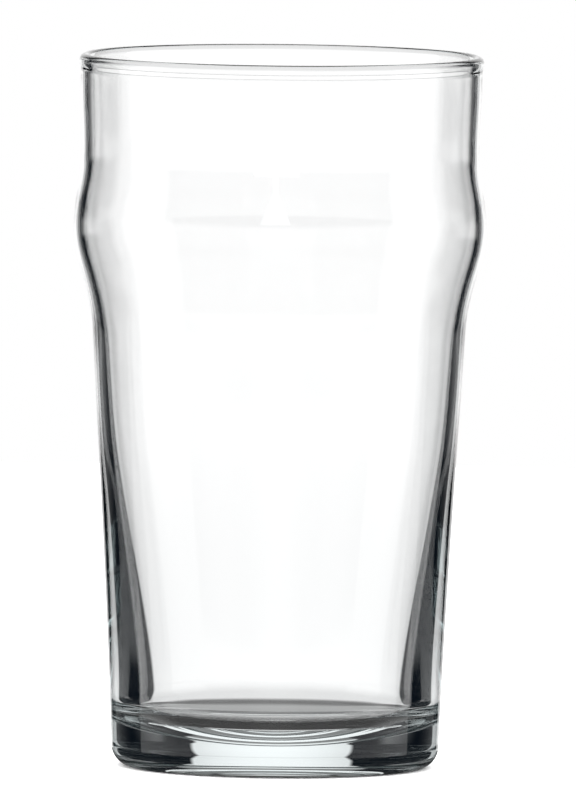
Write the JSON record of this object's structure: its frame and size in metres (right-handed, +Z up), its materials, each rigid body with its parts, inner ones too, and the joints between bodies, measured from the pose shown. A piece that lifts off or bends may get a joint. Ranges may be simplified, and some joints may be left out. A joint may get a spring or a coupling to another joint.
{
  "type": "pint glass",
  "caption": "Clear conical beer glass with a rounded bulge below the rim, a thick solid base and a plain fill mark on the neck.",
  "frame": {"origin": "centre of the foot, on the plane the glass stands on, on its axis of revolution", "axes": "+Z up along the axis of revolution towards the rim, -Y towards the side that carries the fill mark, +X to that side's right"},
  "size_m": [0.0878, 0.088, 0.152],
  "materials": {
    "clear_glass": "clear soda-lime glass, fire polished, with a faint cool grey-green tint in its thick base",
    "fired_mark": "thin matt fired layer, pale and almost see-through"
  },
  "bodies": {
    "root": {"glass_body": "clear_glass", "capacity_mark": "fired_mark"}
  },
  "joints": []
}
